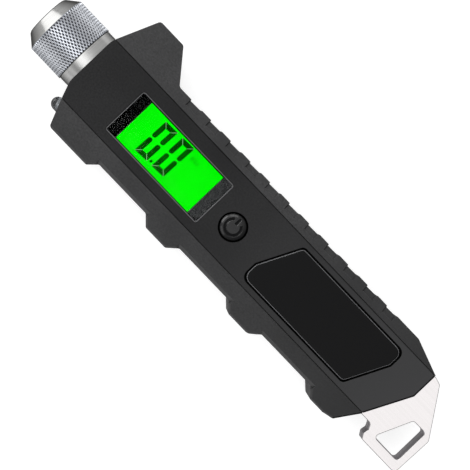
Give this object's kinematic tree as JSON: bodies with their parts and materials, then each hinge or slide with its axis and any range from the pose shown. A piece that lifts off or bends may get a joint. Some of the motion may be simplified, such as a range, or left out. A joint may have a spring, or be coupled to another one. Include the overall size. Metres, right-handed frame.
{
  "type": "digital tire pressure gauge",
  "caption": "Hand-held tire pressure gauge with a knurled swivelling valve chuck, lit display, push button, lamp, serrated grip, sliding battery door and steel tail loop.",
  "frame": {"origin": "middle of the gauge's outline on the surface that its back lies on; the chuck's axis is straight above it", "axes": "+X along the gauge from the chuck to the tail loop, +Y to the serrated thumb side, +Z out of the display"},
  "size_m": [0.1509, 0.0401, 0.0254],
  "materials": {
    "case_plastic": "moulded, fine grain",
    "panel_plastic": "moulded, smooth matt",
    "clear_acrylic": "clear, polished",
    "black_inlay": "satin",
    "polished_steel": "polished",
    "turned_aluminium": "turned and knurled",
    "spring_steel": "plain",
    "black_rubber": "matt",
    "silicone": "translucent",
    "sensor_case": "moulded",
    "circuit_board": "solder mask",
    "chip_epoxy": "matt",
    "display_glass": "lit from behind",
    "light_guide": "diffusing",
    "contact_rubber": "matt",
    "button_rubber": "matt",
    "switch_metal": "plain",
    "clear_epoxy": "clear",
    "cell_jacket": "satin foil",
    "black_screws": "black zinc"
  },
  "bodies": {
    "case": {"front_shell": "case_plastic", "rear_shell": "case_plastic", "front_panel": "panel_plastic", "display_lens": "clear_acrylic", "inlay_plate": "black_inlay", "tail_loop": "polished_steel", "chuck_body": "turned_aluminium", "retaining_ring": "spring_steel", "valve_seal": "black_rubber", "depressor_pin": "spring_steel", "air_tube": "silicone", "pressure_sensor": "sensor_case", "main_board": "circuit_board", "controller_chip": "chip_epoxy", "lcd_glass": "display_glass", "backlight_panel": "light_guide", "contact_strips": "contact_rubber", "switch_body": "switch_metal", "flashlight_led": "clear_epoxy", "led_leads": "spring_steel", "battery_cells": "cell_jacket", "battery_springs": "spring_steel", "contact_plates": "spring_steel", "case_screws": "black_screws", "board_screws": "spring_steel"},
    "chuck": {"chuck_sleeve": "turned_aluminium"},
    "button": {"button_cap": "button_rubber", "switch_plunger": "chip_epoxy"},
    "door": {"battery_door": "case_plastic"}
  },
  "joints": [
    {"name": "chuck_spin", "type": "hinge", "parent": "case", "child": "chuck", "pos_m": [-0.068, 0, 0.0125], "axis": [1, 0, 0], "continuous": true},
    {"name": "button_press", "type": "slide", "parent": "case", "child": "button", "axis": [0, 0, -1], "range_m": [0, 0.0006], "stiffness_N_per_m": 2000},
    {"name": "battery_door_slide", "type": "slide", "parent": "case", "child": "door", "axis": [1, 0, 0], "range_m": [0, 0.055]}
  ]
}
